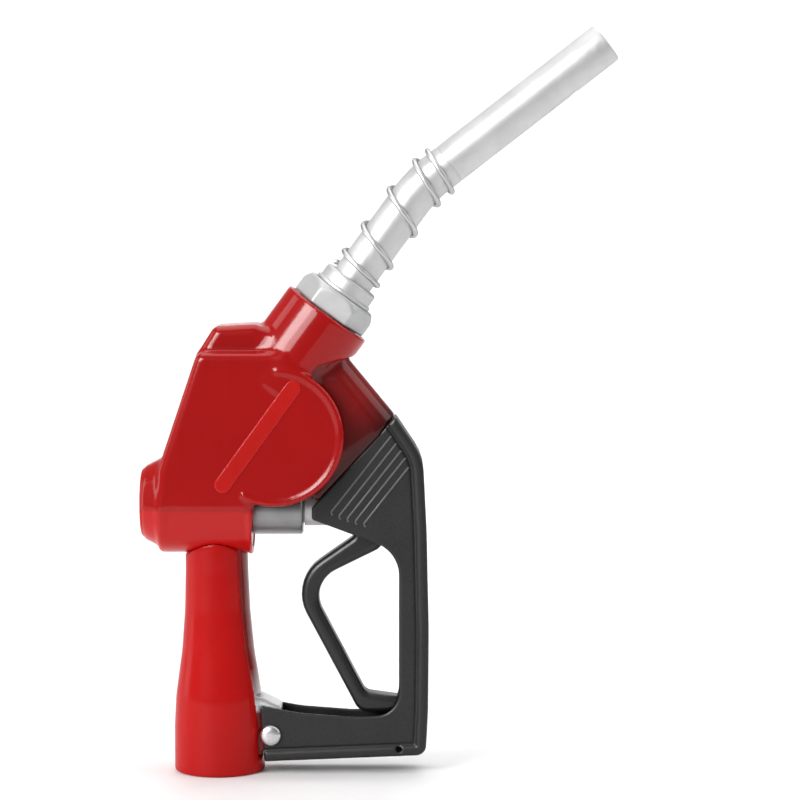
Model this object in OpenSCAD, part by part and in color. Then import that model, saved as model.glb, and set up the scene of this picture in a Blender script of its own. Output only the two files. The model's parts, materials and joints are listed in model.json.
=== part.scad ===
// Automatic shut-off fuel nozzle, standing on its hose inlet.
// +Z runs up the handle, +X towards the spout and the lever guard.
// The plane y = 0 is the plane of symmetry. Millimetres.

/* [Spout] */
// Outside diameter of the spout tube
spout_od = 20.64; // [20:0.02:20.8]
// Wall thickness of the spout tube
spout_wall = 1.2; // [1:0.1:1.6]
// Bend between the two straight legs of the spout, degrees
spout_bend = 16; // [10:1:20]
// Straight length from the bend's apex to the tip
spout_tip_leg = 113.6; // [90:0.1:120]
// Wire diameter of the spring round the spout
spout_wire = 2.6; // [2:0.1:2.8]

/* [Body] */
// Height of the main valve's axis above the hose inlet
valve_z = 130.5; // [130:0.1:131]
// Outside radius of the barrel casting
barrel_r = 19.3; // [19:0.1:19.35]
// Outside radius of the handle casting
handle_r = 12.6; // [12.2:0.1:12.8]
// Width of the strip that shows down the front of the handle
spine_w = 19.6; // [12:0.1:20]
// Outside radius of the neck casting
neck_r = 20.5; // [20:0.1:20.5]
// Lean of the neck away from vertical, degrees
neck_lean = 36.3; // [36:0.1:36.6]

/* [Cover and sleeve] */
// Width of the soft cover across its two flat sides
cover_w = 48; // [47.6:0.1:49]
// Thickness of the soft cover
cover_wall = 2.8; // [2.6:0.1:2.9]
// Radius of the round lobe on each side of the cover
lobe_r = 34; // [31:0.1:34.4]
// Where the cover ends along the barrel
cover_end = 18; // [17:0.1:18.4]
// Length of the blank raised pad between the centres of its round ends
pad_l = 58; // [40:1:60]
// Width of the pad
pad_w = 8.6; // [6:0.1:10]
// How far the pad stands out
pad_h = 0.6; // [0.4:0.1:0.6]

/* [Lever and guard] */
// Width of the guard over its two cheeks
guard_w = 23; // [22.8:0.1:24]
// Thickness of each cheek of the guard
cheek = 2.2; // [2:0.1:2.2]
// Thickness of the guard's outer web
web = 4; // [3:0.1:4.2]
// Width of the operating lever
lever_w = 14; // [13:0.5:15]

/* [Hose inlet] */
// Radius of the threaded hose inlet
inlet_r = 12.3; // [12:0.1:12.8]
// Depth of the threaded hose inlet
inlet_depth = 20; // [16:1:22]

/* [Hidden] */
$fn = 64;

running = 0.06;     // radial clearance of a sliding shaft
eps = 0.01;
overlap = 0.2;      // how far a straight leg of a bent tube runs into its bend
step = 0.12;        // how much thinner the wall of a bend is on each side, so that no faces coincide
big = 200;

// Colours
paint_red = [0.72, 0.10, 0.10];
vinyl_red = [0.80, 0.13, 0.13];
black = [0.16, 0.16, 0.16];
rubber = [0.08, 0.08, 0.08];
steel = [0.70, 0.71, 0.73];
alloy = [0.78, 0.79, 0.80];
bronze = [0.72, 0.56, 0.32];

// Neck and spout axis
neck_end = [54.2, 0, 227];
spout_r = spout_od / 2;
bend_r = 65;
bend_tangent = bend_r * tan(spout_bend / 2);
bend_start = 77.6 - bend_tangent;
tip_leg = spout_tip_leg - bend_tangent;

// Plunger axis: through the lobe's centre, sloping down towards the lever
lobe = [27.5, 0, 168.5];
plunger_slope = 19;
fulcrum_s = 53.4;
trip_travel = 8;
fulcrum = lobe + fulcrum_s * [cos(plunger_slope), 0, -sin(plunger_slope)];

// Places its children on the neck axis, +Z along it, t past the end of the neck
module on_neck(t = 0) translate(neck_end) rotate([0, neck_lean, 0]) translate([0, 0, t]) children();

// Places its children on the spout's tip leg, t past the end of the bend
module on_tip(t = 0)
  on_neck(bend_start)
    translate([bend_r * (1 - cos(spout_bend)), 0, bend_r * sin(spout_bend)])
      rotate([0, spout_bend, 0]) translate([0, 0, t]) children();

// Sweeps a flat profile round the spout's bend
module round_bend()
  on_neck(bend_start) translate([bend_r, 0, 0]) rotate([90, 0, 0]) rotate([0, 0, 180 - spout_bend])
    rotate_extrude(angle = spout_bend) translate([bend_r, 0]) children();

// Places its children on the plunger's axis, s past the lobe's centre
module on_plunger(s = 0)
  translate(lobe) rotate([0, 90 + plunger_slope, 0]) translate([0, 0, s]) children();

// Places its children on the main valve's axis, +Z along +X
module on_valve(x = 0) translate([x, 0, valve_z]) rotate([0, 90, 0]) children();

// A plate of width w, centred on y = 0, from an outline drawn in x and z
module plate(w) rotate([90, 0, 0]) linear_extrude(w, center = true) children();

// A straight round hole or shaft across the part
module cross(p, r, w) translate(p) rotate([90, 0, 0]) cylinder(r = r, h = w, center = true);

module ring(r_out, r_in, h) difference() {
  cylinder(r = r_out, h = h);
  translate([0, 0, -1]) cylinder(r = r_in, h = h + 2);
}

// Joins the rings of a swept wire into one closed solid
module swept_wire(rings) {
  n = len(rings[0]);
  last = len(rings) - 1;
  points = [for (one = rings) for (p = one) p];
  sides = [for (i = [0:last - 1]) for (j = [0:n - 1]) each [
    [i * n + j, i * n + (j + 1) % n, (i + 1) * n + (j + 1) % n],
    [i * n + j, (i + 1) * n + (j + 1) % n, (i + 1) * n + j]
  ]];
  start = [for (j = [n - 1:-1:0]) j];
  end = [for (j = [0:n - 1]) last * n + j];
  polyhedron(points, concat([start], sides, [end]));
}

// A compression spring along +Z, of mean radius r
module coil(r, wire, length, turns, steps = 16, n = 6) {
  rise = length - wire;
  swept_wire([for (i = [0:steps * turns]) let (u = i / (steps * turns), a = 360 * turns * u)
    [for (j = [0:n - 1]) let (b = -360 * j / n, q = r + wire / 2 * cos(b))
      [q * cos(a), q * sin(a), wire / 2 + rise * u + wire / 2 * sin(b)]]]);
}

// ---- Body casting ----

// The handle's outside, which the sleeve slips over
module handle_core() translate([-0.5, 0, 0]) rotate_extrude()
  polygon([[0, 0], [19.6, 0], [19.6, 26], [handle_r, 40], [handle_r, 118], [0, 118]]);

// The handle with its sleeve on
module sleeve_outside() rotate([0, -0.6, 0]) rotate_extrude()
  polygon([[0, -1], [22.4, -1], [21.9, 25], [21.3, 36], [19.8, 47.5], [18.5, 56], [16.5, 75],
    [15.8, 95], [15.4, 118], [0, 118]]);

// The strip down the front of the handle, round like the sleeve, which it shows between
module spine() intersection() {
  plate(spine_w) polygon([[4, 112], [30, 112], [30, 20], [4, 20]]);
  sleeve_outside();
}

// The lug that carries the guard
module lug() plate(guard_w - 2 * cheek - 0.2)
  polygon([[12, 33], [20.5, 37.3], [30.8, 32.6], [32, 30], [32, 10.6], [22, 10.3], [21.5, 8.2], [12, 8.2]]);

module wedge_outline() polygon([[44, 205], [65, 204.8], [87, 176.6], [57, 143.9], [40, 146], [30, 165]]);

// The tongue that the top of the guard straddles
module tongue() plate(guard_w - 2 * cheek - 0.2)
  polygon([[73, 161.4], [82.8, 172], [90, 161.5], [84, 160.4]]);

// Two thin skirts that close the sides between the packing nut and the guard
module skirts() difference() {
  plate(24.8) polygon([[57.1, 144.1], [49.5, 135.8], [43, 139], [42.3, 148]]);
  plate(17.8) square(3 * big, center = true);
}

module plunger_tube() on_plunger(-24) cylinder(r = 11.5, h = 60);

module body_casting() color(paint_red) difference() {
  union() {
    handle_core();
    spine();
    lug();
    on_valve(-30) cylinder(r = barrel_r, h = 46.9);
    cross(lobe, 24, 42);
    on_neck(-56) cylinder(r = neck_r, h = 56);
    on_plunger(-38.2) cylinder(r = 17.3, h = 22);
    plate(30) polygon([[-8, 138], [16.9, 138], [16.9, 152], [8, 172], [-8, 165]]);
    plate(25) wedge_outline();
    skirts();
    tongue();
  }
  // Hose inlet, handle bore and the main valve's two chambers
  translate([0, 0, -1]) cylinder(r = inlet_r, h = inlet_depth + 1);
  translate([-3.5, 0, inlet_depth - 1]) cylinder(r = 8, h = valve_z - inlet_depth);
  on_valve(-31) cylinder(r = 15.5, h = 35.5);
  on_valve(4) cylinder(r = 10, h = 3);
  on_valve(6.5) cylinder(r = 11, h = 20);
  translate([6.5, -9, valve_z]) cube([6.4, 18, 28]);
  // Fuel chamber round the plunger's tube
  difference() {
    cross(lobe, 20.5, 36);
    plunger_tube();
  }
  // Neck
  on_neck(-32) cylinder(r = 16.5, h = 40);
  difference() {
    on_neck(-52) cylinder(r = 10, h = 21);
    plunger_tube();
  }
  // Plunger: diaphragm chamber, latch ring seat, spring space, bushing seat and way out
  on_plunger(-39) cylinder(r = 13, h = 5);
  on_plunger(-34.1) cylinder(r = 10, h = 18.1);
  on_plunger(-16.1) cylinder(r = 9.5, h = 53.1);
  on_plunger(36) cylinder(r = 6.6, h = 20);
  for (a = [45:90:315]) on_plunger(-39) rotate([0, 0, a]) translate([15.1, 0, 0]) cylinder(r = 1.25, h = 7);
  // Rivet
  cross([25.7, 0, 19], 2.7, 60);
}

// ---- Soft covering ----

module hand_insulator() color(vinyl_red) difference() {
  sleeve_outside();
  handle_core();
  // Slots for the spine and the lug
  plate(spine_w + 0.1) polygon([[4, 130], [40, 130], [40, 8], [11.9, 8], [11.9, 19.9], [4, 19.9]]);
  translate([0, 0, -10]) cube([big, big, 20], center = true);
  on_valve(-60) cylinder(r = 21.9, h = 120);
  // Room for the guard's two cheeks and its web
  plate(guard_w + 0.2) polygon([[19, 34], [40, 34], [40, 4], [22, 4]]);
}

// Side face of the cover
module cover_side() {
  polygon([[-29.5, 129.5], [-28, 152], [-8.9, 208.7], [34, 208.7], [41, 199.5], [58, 168.5],
    [27.5, 136], [cover_end, 136], [cover_end, 129.5]]);
  translate([28.3, 167.7]) circle(r = lobe_r);
}

module cover_space() {
  polygon([[-26.6, 129.5], [-25.9, 151.6], [-7.6, 205.9], [90, 205.9], [90, 100], [cover_end, 100],
    [cover_end, 129.5]]);
}

module scuff_cover() color(vinyl_red) difference() {
  union() {
    plate(cover_w) cover_side();
    // Narrower hump over the vacuum chamber
    plate(32) polygon([[-9.3, 207], [-0.5, 221], [19.7, 222], [34, 214], [34, 204], [-4, 204]]);
    on_valve(-30) cylinder(r = 21.7, h = 30 + cover_end);
    difference() {
      on_neck(-40) cylinder(r = 23, h = 40);
      plate(60) polygon([[48, 186], [53.3, 194.1], [61.5, 203.6], [68, 205.6], [100, 212], [100, 150], [48, 150]]);
    }
    // Blank raised pad
    translate([20.5, 0, 168]) rotate([0, -54, 0]) {
      for (end = [-1, 1]) cross([end * pad_l / 2, 0, 0], pad_w / 2, cover_w + 2 * pad_h);
      cube([pad_l, cover_w + 2 * pad_h, pad_w], center = true);
    }
  }
  plate(cover_w - 2 * cover_wall) cover_space();
  plate(26) polygon([[-7.5, 200], [0.6, 218.4], [19, 219.2], [40, 214], [40, 200]]);
  on_valve(-60) cylinder(r = 19.4, h = 120);
  on_neck(-70) cylinder(r = neck_r + 0.1, h = 80);
  translate([-0.5, 0, 90]) cylinder(r = handle_r + 0.1, h = 50);
  plate(spine_w + 0.2) polygon([[0, 90], [16, 90], [16, 125], [0, 125]]);
}

// ---- Main valve ----

module valve_cap() color(vinyl_red) difference() {
  union() {
    on_valve(-37.8) cylinder(r1 = 16.6, r2 = 17.75, h = 1.2);
    on_valve(-36.6) cylinder(r = 17.75, h = 6.6);
    on_valve(-30 - eps) cylinder(r = 15.4, h = 10);
  }
  on_valve(-34) cylinder(r = 11.5, h = 20);
  // Groove for the sealing ring
  on_valve(-28.5) ring(17, 13.9, 2.6);
}

module cap_o_ring() color(rubber) on_valve(-27.2) rotate_extrude() translate([14.7, 0]) circle(r = 0.8);

module main_spring() color(steel) on_valve(-34) coil(r = 9, wire = 2, length = 33, turns = 7);

module main_poppet() color(bronze) on_valve(-1) difference() {
  union() {
    cylinder(r = 12.5, h = 3.9);
    translate([0, 0, -5]) cylinder(r = 7, h = 5 + eps);
    cylinder(r = 3.5, h = 6);
  }
  translate([0, 0, -6]) cylinder(r = 3.05, h = 20);
}

module poppet_seal() color(rubber) on_valve(2.9) ring(12.3, 3.5, 1.55);

module valve_stem() color(steel) {
  on_valve(-8) cylinder(r = 3, h = 68.7);
  on_valve(60.7) cylinder(r1 = 3, r2 = 2.5, h = 0.5);
}

module stem_bushing() color(alloy) difference() {
  union() {
    on_valve(13) cylinder(r = 10.95, h = 4);
    on_valve(16.9) cylinder(r = 12.8, h = 24.1);
    on_valve(41) cylinder(r1 = 12.8, r2 = 12, h = 0.8);
  }
  on_valve(12) cylinder(r = 3 + running, h = 40);
  on_valve(36) cylinder(r = 7, h = 10);
}

module stem_packing() color(rubber) on_valve(36) ring(7, 3.05, 4);

module packing_nut() color(alloy) difference() {
  union() {
    on_valve(40) cylinder(r = 6.95, h = 4);
    on_valve(42.5) cylinder(r = 8.6, h = 12);
  }
  on_valve(39) cylinder(r = 3 + running, h = 20);
}

// ---- Shut-off mechanism ----

module vacuum_cap() color(alloy) on_plunger(-44.8) difference() {
  cylinder(r = 17.3, h = 5.8);
  translate([0, 0, 1.3]) cylinder(r = 12.5, h = 5);
  for (a = [45:90:315]) rotate([0, 0, a]) translate([15.1, 0, -1]) cylinder(r = 1.3, h = 8);
}

module vacuum_cap_screws() color(steel)
  for (a = [45:90:315]) on_plunger(-44.8) rotate([0, 0, a]) translate([15.1, 0, 0]) {
    difference() {
      translate([0, 0, 0.2]) cylinder(r = 1.2, h = 11);
      translate([0, 0, 0]) cylinder(r = 0.6, h = 1, $fn = 6);
    }
  }

module diaphragm_spring() color(steel) on_plunger(-43.45) coil(r = 4.5, wire = 0.6, length = 3.2, turns = 3);

module diaphragm() color(rubber) on_plunger(-38.95) difference() {
  cylinder(r = 17.3, h = 0.7);
  translate([0, 0, -1]) cylinder(r = 2.6, h = 3);
  for (a = [45:90:315]) rotate([0, 0, a]) translate([15.1, 0, -1]) cylinder(r = 1.3, h = 4);
}

module latch_pin() color(steel) on_plunger(-40.2) {
  cylinder(r = 6, h = 1.2);
  cylinder(r = 2.5, h = 15.4);
  translate([0, 0, 15.4]) cylinder(r1 = 2.5, r2 = 1.6, h = 1);
}

module latch_ring() color(steel) on_plunger(-34) difference() {
  cylinder(r = 9.9, h = 17.9);
  translate([0, 0, -1]) cylinder(r = 6 + running, h = 30);
  translate([0, 0, 5.6]) cylinder(r = 6.8, h = 20);
}

module latch_balls() color(steel)
  for (a = [30:120:270]) on_plunger(-26) rotate([0, 0, a]) translate([4.55, 0, 0]) sphere(r = 2);

module plunger() color(steel) difference() {
  union() {
    on_plunger(-33) cylinder(r = 6, h = 75.4);
    on_plunger(-14) cylinder(r = 9.5 - running, h = 3);
    on_plunger(0) plate(6) {
      translate([0, fulcrum_s]) circle(r = 5.5);
      translate([-5.5, 41]) square([11, fulcrum_s - 41]);
    }
  }
  on_plunger(-34) cylinder(r = 2.6, h = 15);
  for (a = [30:120:270]) on_plunger(-26) rotate([0, 0, a]) rotate([0, 90, 0]) cylinder(r = 2.05, h = 9);
  cross(fulcrum, 2.5 + running, 20);
}

module plunger_spring() color(steel) on_plunger(-11) coil(r = 7.8, wire = 1.4, length = 44, turns = 10);

module plunger_bushing() color(bronze) on_plunger(33) ring(9.4, 6 + running, 4);

// ---- Lever ----

module lever_pin() color(steel) cross(fulcrum, 2.5, 17.6);

module lever_outline() {
  translate([fulcrum.x, fulcrum.z]) circle(r = 8);
  polygon([[71, 155], [61.5, 134], [61.5, 127], [67.9, 117.8], [59.9, 111.8], [49.7, 105.1],
    [45.3, 100.6], [42.4, 94.8], [41.5, 88.6], [41.9, 83.3], [45.5, 74.6], [50.1, 64.7],
    [60.2, 46.8], [66.3, 35.4], [70.3, 30.9], [76, 29.5], [90, 29.5], [90, 37], [74.4, 39.1],
    [70.3, 43.7], [60.2, 62.6], [54.1, 74.8], [50.1, 85.5], [50.4, 90], [52.8, 95.3],
    [58.1, 100.4], [68.8, 105.6], [78, 109.8], [83, 115], [84.8, 124], [86, 150]]);
}

module lever() color(black) difference() {
  plate(lever_w) lever_outline();
  // Slot for the plunger's flat end
  plate(6.6) {
    translate([fulcrum.x, fulcrum.z]) circle(r = 9.5);
    polygon([[60, 160], [64, 143.5], [78, 139.6], [90, 148], [90, 165]]);
  }
  cross(fulcrum, 2.5, 30);
}

// ---- Guard ----

// The guard's outer edge, from the top round to the lug
guard_edge = [[87, 176.6], [95.5, 164.3], [101, 153.3], [102.3, 134.5], [103.5, 84.6], [103.5, 44.5],
  [102, 14.3], [98, 9.2], [22.6, 5.7]];

// The edge again, moved inwards by d at each point along the mean of its two normals
function unit(v) = v / norm(v);
function normal(a, b) = let (v = unit(b - a)) [v.y, -v.x];
function inset(edge, d) = [for (i = [0:len(edge) - 1])
  let (before = normal(edge[max(i - 1, 0)], edge[max(i, 1)]),
       after = normal(edge[min(i, len(edge) - 2)], edge[min(i + 1, len(edge) - 1)]),
       mean = unit(before + after))
  edge[i] + mean * d / (mean * after)];

guard_inner = [[20.3, 33.6], [40.2, 30.1], [69.8, 28.1], [82.1, 29.6], [87.5, 33.6], [89, 41.5],
  [89, 98.7], [88.5, 102.7], [85.7, 107.6], [81, 113], [68, 119.2], [54.4, 124.1], [46, 125.9],
  [46, 131.8]];

module lever_guard() color(black) difference() {
  union() {
    plate(guard_w) polygon(concat(guard_edge, [for (i = [len(guard_edge) - 1:-1:0]) inset(guard_edge, web)[i]]));
    difference() {
      plate(guard_w) polygon(concat(guard_edge, guard_inner));
      plate(guard_w - 2 * cheek) square(3 * big, center = true);
    }
  }
  plate(guard_w + 2) wedge_outline();
  cross([25.7, 0, 19], 2.7, 60);
  cross([89, 0, 11.8], 1.4, 60);
}

module guard_rivet() color(steel) {
  cross([25.7, 0, 19], 2.6, guard_w + 0.4);
  for (side = [-1, 1]) translate([25.7, side * guard_w / 2, 19]) rotate([-90 * side, 0, 0])
    intersection() {
      translate([0, 0, -3.9]) sphere(r = 6.5);
      cylinder(r = 5.25, h = 4);
    }
}

// ---- Neck and spout ----

module check_seat() color(bronze) on_neck(-32) difference() {
  cylinder(r = 16.4, h = 3);
  translate([0, 0, -1]) cylinder(r = 8, h = 5);
}

module check_poppet() color(bronze) on_neck(-28.95) {
  cylinder(r = 10, h = 2);
  cylinder(r = 2, h = 7);
}

module check_spring() color(steel) on_neck(-26.9) coil(r = 7.5, wire = 1, length = 10.9, turns = 4);

module spout_adaptor() color(alloy) on_neck(0) difference() {
  union() {
    translate([0, 0, -16]) cylinder(r = 16.4, h = 4);
    translate([0, 0, -12 - eps]) cylinder(r = 14.2, h = 31.6);
    translate([0, 0, 19.5]) cylinder(r1 = 14.2, r2 = 13.6, h = 0.8);
    translate([0, 0, 12]) cylinder(r = 15.35, h = 1.5);
  }
  translate([0, 0, -17]) cylinder(r = spout_r - spout_wall, h = 60);
  translate([0, 0, -10]) cylinder(r = spout_r + 0.02, h = 60);
}

module spout_nut() color(alloy) on_neck(0) difference() {
  union() {
    intersection() {
      cylinder(r = 20.35, h = 12, $fn = 6);
      cylinder(r1 = 25.5, r2 = 18.2, h = 12);
    }
    translate([0, 0, -9.4]) cylinder(r = 16.4, h = 9.5);
  }
  translate([0, 0, -11]) cylinder(r = 14.25, h = 40);
}

module spout_o_ring() color(rubber) on_neck(-10.75) rotate_extrude() translate([15.35, 0]) circle(r = 1.13);

module spout_tube() color(alloy) difference() {
  union() {
    on_neck(-10) ring(spout_r, spout_r - spout_wall, bend_start + 10 + overlap);
    round_bend() difference() {
      circle(r = spout_r - step);
      circle(r = spout_r - spout_wall + step);
    }
    difference() {
      union() {
        on_tip(-overlap) cylinder(r = spout_r, h = tip_leg + overlap - 0.8);
        on_tip(tip_leg - 0.8) cylinder(r1 = spout_r, r2 = spout_r - 0.5, h = 0.8);
      }
      on_tip(-1) cylinder(r = spout_r - spout_wall, h = tip_leg + 2);
      // Shallow groove past the end of the spring
      on_tip(7.4) ring(spout_r + 1, spout_r - 0.3, 0.8);
    }
  }
  // Sensing hole on the underside
  on_tip(tip_leg - 27) rotate([0, 90, 0]) cylinder(r = 2.7, h = 20);
}

vent_off = 5.6;

module vent_tube() color(alloy) {
  on_neck(-6) translate([vent_off, 0, 0]) ring(2, 1.3, bend_start + 6 + overlap);
  round_bend() translate([-vent_off, 0]) difference() {
    circle(r = 2 - step);
    circle(r = 1.3 + step);
  }
  on_tip(-overlap) translate([vent_off, 0, 0]) ring(2, 1.3, tip_leg - 34 + overlap);
}

module vent_fitting() color(bronze) difference() {
  on_tip(tip_leg - 34) translate([vent_off, 0, 0]) cylinder(r = 3.2, h = 12);
  on_tip(tip_leg - 35) translate([vent_off, 0, 0]) cylinder(r = 1.3, h = 9);
  on_tip(tip_leg - 27) translate([vent_off, 0, 0]) rotate([0, 90, 0]) cylinder(r = 1.6, h = 10);
}

// Point and direction on the spout's centre line, at the length l past the neck's end
bend_len = bend_r * spout_bend * PI / 180;
function lean_at(l) = neck_lean + max(0, min(spout_bend, (l - bend_start) / bend_len * spout_bend));
function heading(a) = [sin(a), 0, cos(a)];
function sideways(a) = [cos(a), 0, -sin(a)];
function centre_at(l) =
  l <= bend_start ? neck_end + l * heading(neck_lean)
  : l <= bend_start + bend_len
    ? neck_end + bend_start * heading(neck_lean) + bend_r * (sideways(neck_lean) - sideways(lean_at(l)))
    : centre_at(bend_start + bend_len) + (l - bend_start - bend_len) * heading(neck_lean + spout_bend);

// The spring's turns open out in the middle and close up at its ends
spring_from = 22.4;
spring_to = 90;
spring_turns = 5;
spring_r = spout_r + spout_wire / 2 + 0.1;
function spring_l(u) = spring_from + (spring_to - spring_from) * (u - 0.1 * sin(360 * u));

module spout_spring() color(steel) {
  steps = 28 * spring_turns;
  n = 8;
  swept_wire([for (i = [0:steps]) let (u = i / steps, l = spring_l(u), lean = lean_at(l),
      a = 180 - 360 * spring_turns * u,
      out = cos(a) * sideways(lean) + sin(a) * [0, 1, 0])
    [for (j = [0:n - 1]) let (b = 360 * j / n)
      centre_at(l) + (spring_r + spout_wire / 2 * cos(b)) * out + spout_wire / 2 * sin(b) * heading(lean)]]);
}

body_casting();
hand_insulator();
scuff_cover();
valve_cap();
cap_o_ring();
main_spring();
main_poppet();
poppet_seal();
valve_stem();
stem_bushing();
stem_packing();
packing_nut();
vacuum_cap();
vacuum_cap_screws();
diaphragm_spring();
diaphragm();
latch_pin();
latch_ring();
latch_balls();
plunger();
plunger_spring();
plunger_bushing();
lever_pin();
lever();
lever_guard();
guard_rivet();
check_seat();
check_poppet();
check_spring();
spout_adaptor();
spout_nut();
spout_o_ring();
spout_tube();
vent_tube();
vent_fitting();
spout_spring();
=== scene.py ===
import json
import math

import bmesh
import bpy
import numpy as np
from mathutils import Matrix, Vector


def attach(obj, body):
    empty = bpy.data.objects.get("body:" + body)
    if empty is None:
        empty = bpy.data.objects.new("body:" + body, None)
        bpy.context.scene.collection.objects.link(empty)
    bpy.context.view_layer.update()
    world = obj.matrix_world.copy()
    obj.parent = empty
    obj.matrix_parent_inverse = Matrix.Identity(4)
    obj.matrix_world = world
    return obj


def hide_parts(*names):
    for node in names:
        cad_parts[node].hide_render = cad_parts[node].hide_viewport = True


# Looks for the automatic shut-off fuel nozzle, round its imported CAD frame.
#
# The cast, moulded and pressed shapes are distance functions in millimetres, in the frame's own axes,
# and are turned into meshes in metres. Turned parts are profiles spun round an axis.

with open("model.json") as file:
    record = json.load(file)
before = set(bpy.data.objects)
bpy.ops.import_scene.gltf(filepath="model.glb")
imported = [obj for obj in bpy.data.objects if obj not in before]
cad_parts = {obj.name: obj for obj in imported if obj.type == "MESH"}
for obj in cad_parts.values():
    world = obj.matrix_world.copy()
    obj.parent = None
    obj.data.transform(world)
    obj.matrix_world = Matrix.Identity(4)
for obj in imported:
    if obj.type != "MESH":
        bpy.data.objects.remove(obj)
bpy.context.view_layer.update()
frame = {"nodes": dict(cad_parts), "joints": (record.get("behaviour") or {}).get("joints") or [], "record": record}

MM = 0.001
NODES = frame["nodes"]
JOINTS = {j["name"]: j for j in frame["joints"]}
MOUNTS = {m["name"]: m for m in frame["record"]["mounts"]}
SLOTS = {s["node"]: s["material_slot"] for s in frame["record"]["subparts"]}

# ---- The frame's own lines and sizes, in millimetres ----

NECK_DIR = np.array(JOINTS["check_lift"]["axis"])
TIP_DIR = np.array(MOUNTS["spout_tip"]["axis"])
PLUNGER_DIR = np.array(JOINTS["plunger_trip"]["axis"])
ACROSS = np.array([0.0, 1.0, 0.0])

# The lever's pivot, and the middle of the lobe, up the plunger from it
FULCRUM = np.array(JOINTS["lever_squeeze"]["pos_m"]) / MM
PLUNGER_REACH = 53.4
LOBE = FULCRUM - PLUNGER_REACH * PLUNGER_DIR

# Heights of the main valve's axis and of the nose, and the middle of the neck's open end
VALVE_Z = 130.5
NOSE_Z = 133.4
NECK_END = np.array([54.2, 0.0, 227.0])

# The spout runs along the neck's axis to the apex, turns, and ends one leg further on
SPOUT_R = MOUNTS["spout_tip"]["dims"]["r_mm"]
SPOUT_WALL = 1.2
BEND_R = 65.0
BEND = math.acos(float(NECK_DIR @ TIP_DIR))
APEX = 77.6
TIP_LEG = 113.6

INLET_R = MOUNTS["hose_inlet"]["dims"]["r_mm"]
INLET_DEPTH = MOUNTS["hose_inlet"]["dims"]["length_mm"]

# The rivet's middle and hole in x and z, and the top and slope of the guard's edge against the casting
RIVET = (25.7, 19.0)
RIVET_HOLE_R = 2.6
GUARD_TOP = (87.2, 176.8)
GUARD_SLOPE = (0.676, 0.737)

# ---- Distance functions: negative inside, positive outside ----

def join(a, b, r):
    """Both shapes, with a fillet of radius r where they meet."""
    return np.maximum(r, np.minimum(a, b)) - np.hypot(np.maximum(r - a, 0), np.maximum(r - b, 0))


def common(a, b, r):
    """What two shapes share, with the edge between them rounded to radius r."""
    return np.minimum(-r, np.maximum(a, b)) + np.hypot(np.maximum(r + a, 0), np.maximum(r + b, 0))


def cut(a, b, r):
    """The first shape without the second, with the new edge rounded to radius r."""
    return common(a, -b, r)


ARC_STEP = math.radians(9)
MOST_OF_EDGE = 0.49


def rounded_outline(corners):
    """A closed outline from corners (x, z, radius), with each corner turned into an arc."""
    points = []
    for i, (x, z, r) in enumerate(corners):
        here = np.array([x, z], float)
        before = np.array(corners[i - 1][:2], float) - here
        after = np.array(corners[(i + 1) % len(corners)][:2], float) - here
        u, v = before / np.linalg.norm(before), after / np.linalg.norm(after)
        half = math.acos(max(-1.0, min(1.0, float(u @ v)))) / 2
        shorter = min(np.linalg.norm(before), np.linalg.norm(after))
        reach = min(r / math.tan(half), MOST_OF_EDGE * shorter)
        turn = math.pi - 2 * half
        radius = reach * math.tan(half)
        centre = here + (u + v) / np.linalg.norm(u + v) * radius / math.sin(half)
        start = here + u * reach - centre
        side = 1 if u[0] * v[1] - u[1] * v[0] < 0 else -1
        count = max(1, int(turn / ARC_STEP))
        for k in range(count + 1):
            a = side * turn * k / count
            points.append(centre + [start[0] * math.cos(a) - start[1] * math.sin(a),
                                    start[0] * math.sin(a) + start[1] * math.cos(a)])
    return np.array(points)


def flat_distance(points, x, z):
    """Distance to a closed outline in a plane."""
    shape = np.broadcast_shapes(x.shape, z.shape)
    nearest = np.full(shape, 1e9, np.float32)
    inside = np.zeros(shape, bool)
    for (ax, az), (bx, bz) in zip(points, np.roll(points, -1, axis=0)):
        ex, ez = bx - ax, bz - az
        size = ex * ex + ez * ez
        if size < 1e-9:
            continue
        wx, wz = x - ax, z - az
        t = np.clip((wx * ex + wz * ez) / size, 0, 1)
        nearest = np.minimum(nearest, (wx - ex * t) ** 2 + (wz - ez * t) ** 2)
        if abs(ez) > 1e-9:
            inside ^= ((az > z) != (bz > z)) & (x < ax + wz * ex / ez)
    nearest = np.sqrt(nearest)
    return np.where(inside, -nearest, nearest)


def plate(p, corners, half_width, r):
    """An outline drawn in x and z, with a thickness across y and rounded edges."""
    x, y, z = p
    return common(flat_distance(rounded_outline(corners), x, z), np.abs(y) - half_width, r)


def axial(p, origin, direction):
    """For an axis in the plane y = 0: distance along it, distance from it, and offset in that plane."""
    x, y, z = p
    t = (x - origin[0]) * direction[0] + (z - origin[2]) * direction[2]
    u = (x - origin[0]) * direction[2] - (z - origin[2]) * direction[0]
    return t, np.sqrt(u * u + y * y), u


def rod(p, origin, direction, start, end, radius, r):
    """A round rod on an axis, with rounded edges."""
    t, q, _ = axial(p, origin, direction)
    return common(q - radius, np.maximum(start - t, t - end), r)


def cross_rod(p, x0, z0, radius, half_width, r):
    """A round rod across the part, along y."""
    x, y, z = p
    return common(np.hypot(x - x0, z - z0) - radius, np.abs(y) - half_width, r)


# ---- Meshes ----

CORNERS = np.array([(i, j, k) for i in (0, 1) for j in (0, 1) for k in (0, 1)])
EDGES = [(a, b) for a in range(8) for b in range(a + 1, 8)
         if abs(CORNERS[a] - CORNERS[b]).sum() == 1]
PROJECTIONS = 3
NORMAL_REACH = 0.6


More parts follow.
